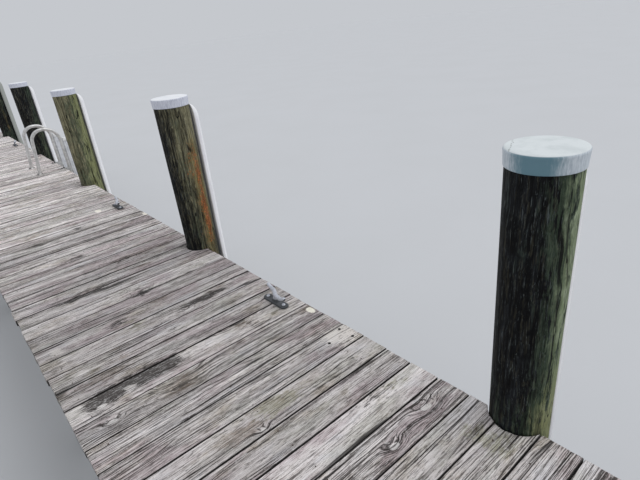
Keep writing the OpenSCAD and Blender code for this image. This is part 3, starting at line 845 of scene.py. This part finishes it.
def add_log(shape, middle, top, seed, sides, rows, looks):
    """Adds a log. Its radius grows with height, wavers a little, is cut by narrow upright
    checks and is held back to flat cheeks where the cross beams bear. Its film and rust
    values are bells of the angle round it, and the rust fades out at two heights."""
    draw = np.random.default_rng(seed)
    cheek_rows = [BEAM_LOW - 0.001, BEAM_LOW, BEAM_TOP, min(BEAM_TOP + 0.001, top)]
    z = np.sort(np.concatenate([np.linspace(0, top, rows), cheek_rows]))[:, None]
    turn = angles(sides)
    radius = (PILE_FOOT + PILE_TAPER * z + 0.0008 * round_waver(turn, 8, z * 1.3, seed)
              + 0.0005 * round_waver(turn, 44, z * 3.5, seed + 1))
    for k in range(CHECKS_A_LOG):
        start, length = draw.uniform(0, top), draw.uniform(0.3, 1.1)
        at = draw.uniform(0, 2 * np.pi) + 0.10 * waver(z * 2, k, seed + 2)
        off = np.abs((turn - at + np.pi) % (2 * np.pi) - np.pi) * radius
        deep = draw.uniform(0.0015, 0.0040) * np.clip(1 - ((z - start) / length) ** 2, 0, 1)
        radius = radius - deep * hill(off, draw.uniform(0.0018, 0.0040))
    with_flat = np.minimum(radius, PILE_FLAT / np.maximum(np.abs(np.cos(turn)), 0.05))
    radius = np.where((z >= BEAM_LOW) & (z <= BEAM_TOP), with_flat, radius)
    grid = np.stack([middle[0] + radius * np.cos(turn), middle[1] + radius * np.sin(turn),
                     z + 0 * radius], -1)
    bare, film, angle, spread, foot, rust, rust_at = looks
    degrees = np.degrees(turn)
    film = (film * hill(off_angle(degrees, angle), spread) + foot * hill(z - DECK_TOP, 0.18)
            + 0.16 * round_waver(turn, 7, z * 2.2, seed + 3) + 0.5 * hill(z - 0.28, 0.30))
    off = radians(1) * off_angle(degrees, rust_at) * radius
    run = 1.12 * hill(off, 0.022) * np.clip((1.92 - z) / 0.55, 0, 1)
    run = run * np.clip((z - 1.08) / 0.12, 0, 1)
    stain = 0.45 * hill(off + 0.014, 0.060) * np.clip((2.0 - z) / 0.3, 0, 1)
    # Partly the bare wood's own olive colour and partly painted light against the shade beside the
    # strip: bare wood is made lighter on the side facing 210 degrees and higher up.
    lighter = 0.42 * np.sin(np.radians(degrees - 120)) + 0.50 * (z - 1.5)
    tone = bare + 0.16 * round_waver(turn, 5, z * 1.5, seed + 4) + lighter * (bare > 0.2)
    shape.add(grid, film=film, rust=rust * (run + stain), tone=tone)


def stand_piles():
    """The water piles, a piece each, and the land piles as one."""
    for k, (middle, top) in enumerate(zip(PILES, PILE_TOPS)):
        log = Shape()
        add_log(log, middle, top, 500 + 20 * k, 176, 150, PILE_LOOKS[k])
        log.build(f"log_{k + 1}", PILE_WOOD, "pile_wood", f"water_pile_{k + 1}", sharp=60)
    short = Shape()
    for k, (x, _) in enumerate(PILES):
        looks = (0.3, 0.35, 200 + 30 * k, 80, 0.0, 0.0, 0)
        add_log(short, (x, LAND_PILES_Y), BEAM_TOP, 900 + 20 * k, 96, 60, looks)
    short.build("land_logs", PILE_WOOD, "pile_wood", "land_piles", sharp=60)


# ---- pile caps ----

TEAL_CAP = 1  # the one that is greener than the rest, counted from 0


def fit_caps():
    """Each cap is an outline turned about its pile: a lid that falls slightly to its rim,
    a rounded rim, a skirt that narrows down to the hem, and the hollow inside."""
    plain = cap_finish("faded_cap_plastic", ("dcdfea", "babecd", "c0c6d3"), ("f3f5f9", "e5e8ee"))
    teal = cap_finish("teal_cap_plastic", ("ced6dd", "b0bac3", "648592"), ("dee4e6", "d1d8da"),
                      PILES[TEAL_CAP])
    sides, wall, rim, axis = 112, 0.003, 0.008, 0.0006
    turn = angles(sides)
    bend = np.linspace(0, np.pi / 2, 6)
    for k, (x, y) in enumerate(PILES):
        low, high = box(f"pile_cap_{k + 1}")
        tall, lid = high[2] - low[2], (high[0] - low[0]) / 2
        hem = lid - 0.003
        inner = hem - wall
        outline = [(axis, tall), (0.03, tall), (0.06, tall), (0.085, tall - 0.0002),
                   (lid - rim - 0.004, tall - 0.0006)]
        outline += [(lid - rim + rim * sin(a), tall - 0.0008 - rim + rim * cos(a)) for a in bend]
        outline += [(hem + (lid - hem) * s / tall, s)
                    for s in np.linspace(tall - rim - 0.006, 0.002, 9)]
        outline += [(hem - 0.0006, 0.0), (inner + 0.0004, 0.0), (inner, 0.002),
                    (inner, tall - 0.004), (axis, tall - 0.004)]
        grid = turned(outline, sides, (x, y, low[2]))
        radius, height = np.array(outline).T[..., None]
        out = (grid[..., :2] - (x, y)) / np.maximum(radius[..., None], 1e-6)
        skirted = hill(height - 0.02, 0.03) * (radius > inner + 0.0002)
        wave = 0.0005 * (round_waver(turn, 9, k * 7.7, 60 + k) - 1)
        grid[..., :2] += out * (skirted * wave)[..., None]
        flat = (height > tall - 0.003) & (radius < lid - 0.0028)
        if k == TEAL_CAP:
            patch = hill(off_angle(np.degrees(turn), 104), 42)
        else:
            patch = 0.4 * round_waver(turn, 5, k, 80)
        cap = Shape()
        cap.add(grid, lid=flat, patch=patch)
        cap.build(f"cap_{k + 1}", teal if k == TEAL_CAP else plain, "cap_plastic",
                  f"pile_cap_{k + 1}", sharp=50)


# ---- bumper strips ----

# Depth from the pile, half the width, where the back lies and the radius of the face
STRIP_REACH, STRIP_HALF, STRIP_BACK, STRIP_FACE = 0.058, 0.065, 0.005, 0.078
STRIP_LENGTH, STRIP_NOSE = 1.829, 0.085  # the nose is the rounded end at the top
# How dirty each pile's strip is, and how many degrees it is turned round the pile
STRIP_GRIME = [0.2, 0.0, 0.02, 0.05, 0.15, 1.15, 0.2]
STRIP_TURN = [0, 5, 0, 0, 0, 17, 0]


def strip_outline():
    """(across, outward): a narrow back, rounded shoulders and a face on a circle."""
    bend_radius = 0.007
    face = np.linspace(-STRIP_HALF + 0.001, STRIP_HALF - 0.001, 21)
    bow = STRIP_REACH - STRIP_FACE + np.sqrt(STRIP_FACE ** 2 - face ** 2)
    bend = np.linspace(0, np.pi / 2, 5)
    shoulder = np.column_stack([STRIP_HALF - bend_radius + bend_radius * np.sin(bend),
                                STRIP_BACK + bend_radius - bend_radius * np.cos(bend)])
    back = [(0.033, -0.004), (0.033, STRIP_BACK - 0.0004), (0.040, STRIP_BACK)]
    right = np.concatenate([back, shoulder, [(STRIP_HALF, bow[0] - 0.001)]])
    return np.concatenate([right * (-1, 1), np.column_stack([face, bow]), right[::-1]])


def fit_strips():
    """The outline is carried up the pile's slope, and near the top it shrinks with the
    height of a quarter ellipse, so that the end is a rounded nose against the pile. Some
    strips are turned a little round their pile."""
    tilt, cap_tall, gap = atan(PILE_TAPER), 0.052, 0.006
    across, outline_out = strip_outline().T
    nose = STRIP_LENGTH - STRIP_NOSE * (1 - np.sin(np.linspace(0, np.pi / 2 - 0.03, 14)))
    h = np.concatenate([[0, 0.0015, 0.01],
                        np.linspace(0.05, STRIP_LENGTH - STRIP_NOSE - 0.02, 40), nose])
    left = np.clip((STRIP_LENGTH - h) / STRIP_NOSE, 0, 1)
    size = (np.sqrt(np.clip(1 - (1 - left) ** 2, 0.0016, 1)) - 0.03 * hill(h, 0.0012))[:, None]
    depth = np.where(outline_out > 0, outline_out * size, outline_out)
    for k, (x, y) in enumerate(PILES):
        foot = (PILE_TOPS[k] - cap_tall - gap) - STRIP_LENGTH
        up = (foot + h)[:, None]
        side = across * (0.42 + 0.58 * size) + 0.0006 * waver(h * 3, k * 2.3, 90 + k)[:, None]
        out = PILE_FOOT + depth * cos(tilt) + up * sin(tilt)
        turn = radians(STRIP_TURN[k])
        grid = np.stack([x + side * cos(turn) - out * sin(turn),
                         y - out * cos(turn) - side * sin(turn),
                         up * cos(tilt) - depth * sin(tilt)], -1)
        strip = Shape()
        # the strip's narrow back carries the painted shade of the gap against the pile
        strip.add(grid, grime=STRIP_GRIME[k] + 0.55 * hill(grid[..., 2], 0.35),
                  behind=outline_out < STRIP_BACK - 0.0001)
        strip.build(f"strip_{k + 1}", STRIP_VINYL, "strip_vinyl", f"bumper_strip_{k + 1}", sharp=32)


# ---- timber frame ----


def add_plank(shape, axis, start, end, middle, draw):
    """Adds a plank on edge along axis 0 (X) or 1 (Y): a rounded rectangle carried along it
    with eased ends, wavering by a third of a millimetre."""
    outline = rounded(PLANK_THICK - 0.0006, PLANK_HEIGHT - 0.0006, 0.003, 3)
    length = end - start
    s = np.concatenate([[0, 0.0012, 0.004],
                        np.linspace(0.03, length - 0.03, max(8, int(length * 3))),
                        [length - 0.004, length - 0.0012, length]])
    path = np.zeros((len(s), 3))
    path[:, axis] = start + s
    path[:, 1 - axis] = middle[0] + 0.0003 * waver(s * 1.7, draw.uniform(0, 30), 31)
    path[:, 2] = middle[1]
    size = 1 - 0.03 * (hill(s, 0.0013) + hill(length - s, 0.0013))
    grid = swept(path, outline, np.eye(3)[1 - axis], size)
    shape.add(grid, grain=grid[..., [axis, 1 - axis, 2]] + draw.uniform(0, 40, 3),
              tone=draw.uniform(0, 1))


def build_frame():
    """Three stringers of three planks each, and a pair of beams at every pile."""
    for k, name in enumerate(("outer_stringer", "middle_stringer", "inner_stringer")):
        low, high = box(name)
        draw = np.random.default_rng(300 + k)
        plank = Shape()
        cuts = [low[0]] + [PILES[n][0] - 0.034 for n in (2, 4)] + [high[0]]
        for start, end in zip(cuts[:-1], cuts[1:]):
            add_plank(plank, 0, start + 0.0008, end - 0.0008, centre(name)[1:], draw)
        plank.build(f"{name}_planks", FRAME_WOOD, "frame_wood", name)
    for k, (x, _) in enumerate(PILES):
        low, high = box(f"cross_beams_{k + 1}")
        draw = np.random.default_rng(330 + k)
        pair = Shape()
        for side in (-1, 1):
            middle = (x + side * (PILE_FLAT + PLANK_THICK / 2), (low[2] + high[2]) / 2)
            add_plank(pair, 1, low[1], high[1], middle, draw)
        pair.build(f"beam_planks_{k + 1}", FRAME_WOOD, "frame_wood", f"cross_beams_{k + 1}")


def fit_bolts():
    """Two bolts through the beams at every pile. A bolt end is a square-edged washer, then
    a six-sided nut with a domed end, as rings of six points along X on both faces."""
    radius = 0.011
    rings = [(0.0, 1.7), (0.004, 1.7), (0.0041, 1.0), (0.0125, 1.0), (0.0135, 0.85),
             (0.0136, 0.5), (0.018, 0.45), (0.0185, 0.05)]
    bolts = Shape()
    for side in (-1, 1):
        end = along_x(stacked((side * d, circle(r * radius, 6)) for d, r in rings))
        bolts.stamp(end, [
            (x + side * (PILE_FLAT + PLANK_THICK - 0.0006), at + dy, BEAM_LOW + dz)
            for x, y in PILES for at in (y, LAND_PILES_Y)
            for dy, dz in ((-0.035, 0.055), (0.035, 0.130))])
    bolts.build("frame_bolts", ZINC, "galvanized_steel", sharp=30)


# ---- cleats ----

# How far past its bay's middle each cleat stands; the ladder's bay has none
CLEAT_OFFSETS = [0.140, 0.140, 0.165, None, -0.040, 0.140]
CLEAT_INSET = 0.105


def slot_outline(half, radius, steps=12):
    """A long outline with half circles of the given radius about two points."""
    turn = np.linspace(-np.pi / 2, np.pi / 2, steps + 1)
    right = np.stack([half + radius * np.cos(turn), radius * np.sin(turn)], -1)
    return np.concatenate([right, -right])


def bar_points():
    """A cleat's bar, bent up at both ends and closed in round tips, and swung to opposite
    sides by a tanh so that its plan is a slack S. With it comes its outline."""
    height, bend_radius, turn_up, start = 0.048, 0.090, radians(33), 0.055
    a = np.linspace(0, turn_up, 12)[1:]
    tip = np.array([0.35, 0.65, 0.85, 0.96, 1.0])
    right = [(0.014, height), (0.034, height), (start, height)]
    right += [(start + bend_radius * sin(v), height + bend_radius * (1 - cos(v))) for v in a]
    end = right[-1]
    right += [(end[0] + d * cos(turn_up), end[1] + d * sin(turn_up)) for d in tip * 0.010]
    right = np.array(right)
    path = np.concatenate([right[::-1] * (-1, 1), [(0.0, height)], right])
    swing = np.where(path[:, 0] > 0, -0.030, -0.012) * np.tanh(path[:, 0] / 0.045)
    path = np.stack([path[:, 0] * 0.95, swing, path[:, 1]], -1)
    heading = np.gradient(path, axis=0)
    level = np.stack([-heading[:, 1], heading[:, 0], 0 * swing], -1)
    level /= np.linalg.norm(level, axis=1)[:, None]
    thick = np.concatenate([np.linspace(1.05, 0.92, 14),
                            np.sqrt(1 - np.minimum(tip, 0.9998) ** 2) * 0.92])
    thick = np.concatenate([thick[::-1], [1.08], thick])
    outline = circle(0.0112, 20) * (0.95, 1.0)
    return swept(path, outline, level, thick), outline


def cleat_parts(metal, place):
    """A base with a rounded edge, a flared stem and the bar; the bolts have flat washers
    and domed heads. The shine value sets painted light and shade: low over the
    base, at the stem's foot, under the bar and on the washers, and high on the bar's top,
    the stem's top and the heads."""
    edge = mm((0, 0), (5.5, 0), (7.8, 1), (8.8, 2.8), (9, 6))
    base = stacked((up, slot_outline(0.073, 0.025 - inset)) for up, inset in edge)
    # painted shade over the whole base, darkest at its foot
    metal.add(base + place, shine=np.array([0.0, 0.0, 0.1, 0.28, 0.32])[:, None])
    t = np.linspace(0, 1, 12)
    stem = np.column_stack([0.0105 + 0.0125 * (1 - t) ** 2.2, 0.007 + 0.036 * t])
    # painted shade at the foot of the stem, painted light at its top
    metal.add(turned(stem, 28) * (1.35, 0.80, 1.0) + place,
              shine=np.clip(t * 2 - 0.4, 0, 1)[:, None])
    bar, outline = bar_points()
    # painted light on the bar's top and painted shade under it
    metal.add(bar + place, shine=0.78 - 60 * outline[:, 1])
    washer = mm((0.3, 8), (16.5, 8), (16.5, 9.6), (16, 10.1), (0.3, 10.3))
    head = mm((0.3, 9), (10.4, 9), (10.4, 11.8), (9.4, 14.2), (7.2, 15.8), (4.2, 16.5), (0.3, 16.6))
    for side in (-1, 1):
        # painted shade on the washers round the heads and painted light on the heads
        for outline, shine in ((washer, 0.0), (head, 1.0)):
            metal.add(turned(outline, 28, place + (side * 0.071, 0, 0)), shine=shine)


def fit_cleats():
    """A cleat in every bay but the ladder's, each a little off the bay's middle."""
    metal = Shape()
    for k, off in enumerate(CLEAT_OFFSETS):
        if off is not None:
            x = (k + 0.5 - BAYS / 2) * BAY_LENGTH + off
            cleat_parts(metal, np.array((x, WATER_EDGE + CLEAT_INSET, DECK_TOP)))
    metal.build("cleats", ZINC, "galvanized_steel", "mooring_cleats", sharp=35)


# ---- ladder ----

LADDER_X = 0.5 * BAY_LENGTH + 0.083
LADDER_SIDES = (LADDER_X - 0.224, LADDER_X + 0.224)
RAIL_RADIUS = 0.019
RAIL_TOP_Y = WATER_EDGE + 0.125
# The bends over the deck and over its edge, the height, and half the flat between bends
RAIL_IN, RAIL_OUT, RAIL_TALL, RAIL_FLAT = 0.126, 0.165, 0.503, 0.006
STILE_WIDE, STILE_THICK = 0.065, 0.030
STILE_Y = RAIL_TOP_Y - RAIL_FLAT - RAIL_OUT - RAIL_RADIUS - 0.001
STILE_TOP = DECK_TOP + 0.325
STEPS, STEP_GAP = 4, 0.275


def rail_path():
    """The handrail's line in its own plane, from its foot: a leaning leg, a bend over the
    deck, a short flat, a bend over the edge and a leg down past it."""
    lean = radians(5.5)
    leg = (RAIL_FLAT + RAIL_IN * cos(lean), RAIL_TALL - RAIL_IN + RAIL_IN * sin(lean))
    foot = (leg[0] + (leg[1] - 0.003) * tan(lean), 0.003)
    a, b = np.linspace(lean, np.pi / 2, 20), np.linspace(np.pi / 2, np.pi, 22)
    first = np.column_stack([np.linspace(foot[0], leg[0], 9), np.linspace(foot[1], leg[1], 9)])
    over = (RAIL_FLAT, RAIL_TALL - RAIL_IN) + RAIL_IN * np.column_stack([np.cos(a), np.sin(a)])
    out = (-RAIL_FLAT, RAIL_TALL - RAIL_OUT) + RAIL_OUT * np.column_stack([np.cos(b), np.sin(b)])
    down = np.column_stack([np.full(9, -RAIL_FLAT - RAIL_OUT),
                            np.linspace(RAIL_TALL - RAIL_OUT, -0.620, 9)])
    return np.concatenate([first[:-1], over, out, down[1:]]), foot[0] + RAIL_TOP_Y


def fit_rails():
    """Each handrail is a tube along its line, with a welded foot plate and a fillet of
    weld. Bolt heads sit on the plates and on the brackets."""
    line, foot_y = rail_path()
    plate = rounded(0.064, 0.064, 0.008, 5)
    plate_rows = [(0.0, 1.0), (0.0048, 1.0), (0.006, 0.965), (0.0061, 0.90)]
    weld = mm((18, 4), (24.5, 5), (23.5, 7.5), (20.5, 10.5), (18.5, 13))
    head = mm((0.3, 0), (8.2, 0), (8.2, 4), (6, 6.2), (0.3, 7))
    for x, name in zip(LADDER_SIDES, ("near", "far")):
        path = np.insert(line + (RAIL_TOP_Y, DECK_TOP), 0, x, axis=1)
        rail = Shape()
        rail.add(swept(path, circle(RAIL_RADIUS, 36), (1, 0, 0)))
        rail.add(stacked((up, plate * size) for up, size in plate_rows) + (x, foot_y, DECK_TOP))
        rail.add(turned(weld, 30, (x, foot_y - 0.0006, DECK_TOP)))
        rail.build(f"handrail_{name}", RAIL_ALLOY, "ladder_aluminium", f"ladder_rail_{name}",
                   sharp=35)
    heads = Shape()
    plates = (0.022, (foot_y - 0.022, foot_y + 0.022))
    brackets = (0.013, (WATER_EDGE + 0.018, WATER_EDGE + 0.044))
    heads.stamp(turned(head, 10), [
        (x + side * off, y, DECK_TOP + 0.0056) for off, rows in (plates, brackets)
        for x in LADDER_SIDES for side in (-1, 1) for y in rows])
    heads.build("ladder_bolts", HOLE_SHADE_AND_DARK_STEEL, "galvanized_steel", sharp=50)


def stile_outline():
    """A rounded bar with two grooves down each broad side."""
    half, groove, corner_radius = STILE_THICK / 2, 0.005, 0.003
    corner = [(half - corner_radius + corner_radius * sin(a),
               -STILE_WIDE / 2 + corner_radius - corner_radius * cos(a))
              for a in np.linspace(0, np.pi / 2, 5)]
    lip = [(half, 0.0034), (half - 0.0006, 0.0030), (half - groove, 0.0026)]
    edge = [(a, middle + side * b) for middle in (-STILE_WIDE / 6, STILE_WIDE / 6)
            for side, rows in ((-1, lip), (1, lip[::-1])) for a, b in rows]
    right = corner + edge + [(a, -b) for a, b in corner[::-1]]
    return np.array(right + [(-a, -b) for a, b in right])


def fit_stiles():
    """Each stile is its outline carried up, and its cap a plain rounded bar, shrunk in
    steps to a round-edged top. Treads are carried from stile to stile, with ribs of a
    cosine along their top."""
    stiles, caps, treads = Shape(), Shape(), Shape()
    outline, lid = stile_outline(), rounded(STILE_THICK, STILE_WIDE, 0.005, 5)
    heights = np.concatenate([[0, 0.002], np.linspace(0.05, STILE_TOP, 12)])
    cap_rows = [(-0.006, 1.0), (0.0, 1.0), (0.034, 1.0), (0.0375, 0.975), (0.0393, 0.93),
                (0.0400, 0.85)]
    for x in LADDER_SIDES:
        place = np.array((x, STILE_Y - STILE_WIDE / 2, 0.0))
        stiles.add(stacked((z, outline) for z in heights) + place)
        caps.add(stacked((STILE_TOP + up, lid * size) for up, size in cap_rows) + place)
    along = np.linspace(-0.036, 0.036, 61)
    ribs = 0.0138 + 0.0016 * np.cos(along * 2 * np.pi / 0.012)
    side = mm((38.5, 13.5), (40, 12), (40, -13), (38.5, -15.5), (37, -16))
    tread = np.concatenate([np.column_stack([along, ribs]), side, side[::-1] * (-1, 1)])
    span = np.linspace(LADDER_SIDES[0] + 0.015, LADDER_SIDES[1] - 0.015, 4)
    first_drop, tread_half = 0.095, 0.016
    for k in range(STEPS):
        z = DECK_TOP - first_drop - tread_half - STEP_GAP * k
        treads.add(along_x(stacked((x, tread + (STILE_Y - 0.040, z)) for x in span)))
    stiles.build("stiles", STILE_ALLOY, "ladder_aluminium", "ladder_stiles", sharp=30)
    caps.build("stile_caps", END_CAP_PLASTIC, "end_cap_plastic", "ladder_end_caps", sharp=35)
    treads.build("ladder_steps", STILE_ALLOY, "ladder_aluminium", "ladder_treads", sharp=35)


lay_deck()
drive_nails()
stand_piles()
fit_caps()
fit_strips()
build_frame()
fit_bolts()
fit_cleats()
fit_rails()
fit_stiles()
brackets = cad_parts["ladder_brackets"].data
brackets.materials.clear()
brackets.materials.append(RAIL_ALLOY)


# ---- floor, light and camera ----


def lay_floor():
    """A wide pale floor at the waterline, with faint mottling."""
    f = Finish("pale_floor", Specular_IOR_Level=0.2, Roughness=0.9)
    cloud = f.noise(f.place(), (0.6, 0.6, 0.6), 3)
    f.put(f.shader.inputs["Base Color"], f.blend(cloud, "cfd1d5", "cacccf"))
    mesh = bpy.data.meshes.new("floor")
    far = 90.0
    mesh.from_pydata([(-far, -far, 0), (far, -far, 0), (far, far, 0), (-far, far, 0)], [],
                     [(0, 1, 2, 3)])
    mesh.materials.append(f.material)
    floor = bpy.data.objects.new("floor", mesh)
    bpy.context.scene.collection.objects.link(floor)


def light_scene():
    """Even light from the whole sky, with a pale background where the camera, a gloss or
    a glass looks past the object, and one very soft lamp high on the water side."""
    world = bpy.data.worlds.new("sky")
    bpy.context.scene.world = world
    nodes = Nodes(world)
    camera, gloss, glass = (nodes.node("ShaderNodeLightPath", out=f"Is {ray} Ray")
                            for ray in ("Camera", "Glossy", "Transmission"))
    sky, backdrop = (
        nodes.node("ShaderNodeBackground", None, {"Color": code, "Strength": strength})
        for code, strength in (("f6f8fb", 0.72), ("c5c8cd", 1.0)))
    seen = nodes.node("ShaderNodeMixShader", None,
                      {0: camera.most(gloss).most(glass), 1: sky, 2: backdrop})
    nodes.add("ShaderNodeOutputWorld", None, {"Surface": seen})
    lamp = bpy.data.lights.new("soft_key", "SUN")
    lamp.energy = 0.95
    lamp.angle = radians(50)
    key = bpy.data.objects.new("soft_key", lamp)
    key.rotation_euler = Vector((0.45, 0.55, -1.0)).to_track_quat("-Z", "Y").to_euler()
    bpy.context.scene.collection.objects.link(key)


def set_camera():
    """The camera looks along the jetty and out over its water side, turned a little
    about its own line of sight. Its lens is worked out for a picture of 640 by 480."""
    yaw, pitch, roll = (radians(a) for a in (38.2661, 25.0197, 6.4220))
    focal_pixels, picture_width, sensor_width = 478.865, 640, 36.0
    ahead = Vector((cos(yaw) * cos(pitch), -sin(yaw) * cos(pitch), -sin(pitch)))
    level = Vector((-sin(yaw), -cos(yaw), 0.0))
    below = ahead.cross(level)
    right = level * cos(roll) + below * sin(roll)
    down = below * cos(roll) - level * sin(roll)
    data = bpy.data.cameras.new("camera")
    data.sensor_width = sensor_width
    data.lens = sensor_width * focal_pixels / picture_width
    data.clip_start, data.clip_end = 0.05, 300
    camera = bpy.data.objects.new("camera", data)
    camera.matrix_world = Matrix((right, -down, -ahead)).transposed().to_4x4()
    camera.location = (-5.4550, WATER_EDGE + 1.2802, 2.4613)
    bpy.context.scene.collection.objects.link(camera)
    bpy.context.scene.camera = camera


lay_floor()
light_scene()
set_camera()
bpy.context.scene.view_settings.view_transform = "Standard"
